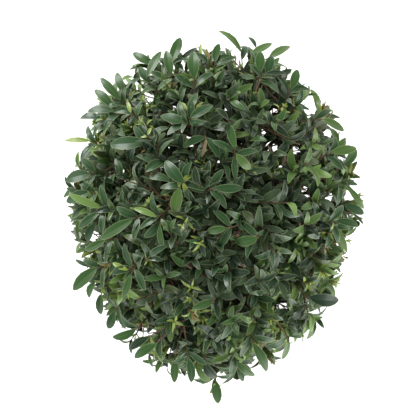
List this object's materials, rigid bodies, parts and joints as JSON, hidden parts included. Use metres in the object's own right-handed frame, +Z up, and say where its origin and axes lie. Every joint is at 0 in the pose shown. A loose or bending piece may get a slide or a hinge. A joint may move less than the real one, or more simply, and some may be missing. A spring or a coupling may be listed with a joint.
{
  "type": "brush cherry bonsai in a pot",
  "caption": "Clipped bonsai tree: an egg-shaped crown of small glossy opposite leaves on a slender, gently curved trunk with a root flare, standing in a plain oval clay pot.",
  "frame": {"origin": "middle of the pot's flat underside, on the surface that it stands on", "axes": "+Z up along the plant, +Y along the long way of the crown and of the oval pot, +X across them"},
  "size_m": [0.2897, 0.3551, 0.4132],
  "materials": {
    "pot_clay": "matte",
    "soil_mix": "matte",
    "bark": "matte",
    "foliage": "satin"
  },
  "bodies": {
    "root": {"pot": "pot_clay", "soil": "soil_mix", "trunk": "bark", "bough_01": "bark", "bough_02": "bark", "bough_03": "bark", "bough_04": "bark", "bough_05": "bark", "bough_06": "bark", "bough_07": "bark", "bough_08": "bark", "bough_09": "bark", "bough_10": "bark", "bough_11": "bark", "bough_12": "bark", "foliage_top": "foliage", "foliage_01": "foliage", "foliage_02": "foliage", "foliage_03": "foliage", "foliage_04": "foliage", "foliage_05": "foliage", "foliage_06": "foliage", "foliage_07": "foliage", "foliage_08": "foliage", "foliage_09": "foliage", "foliage_10": "foliage", "foliage_11": "foliage", "foliage_12": "foliage"}
  },
  "joints": []
}
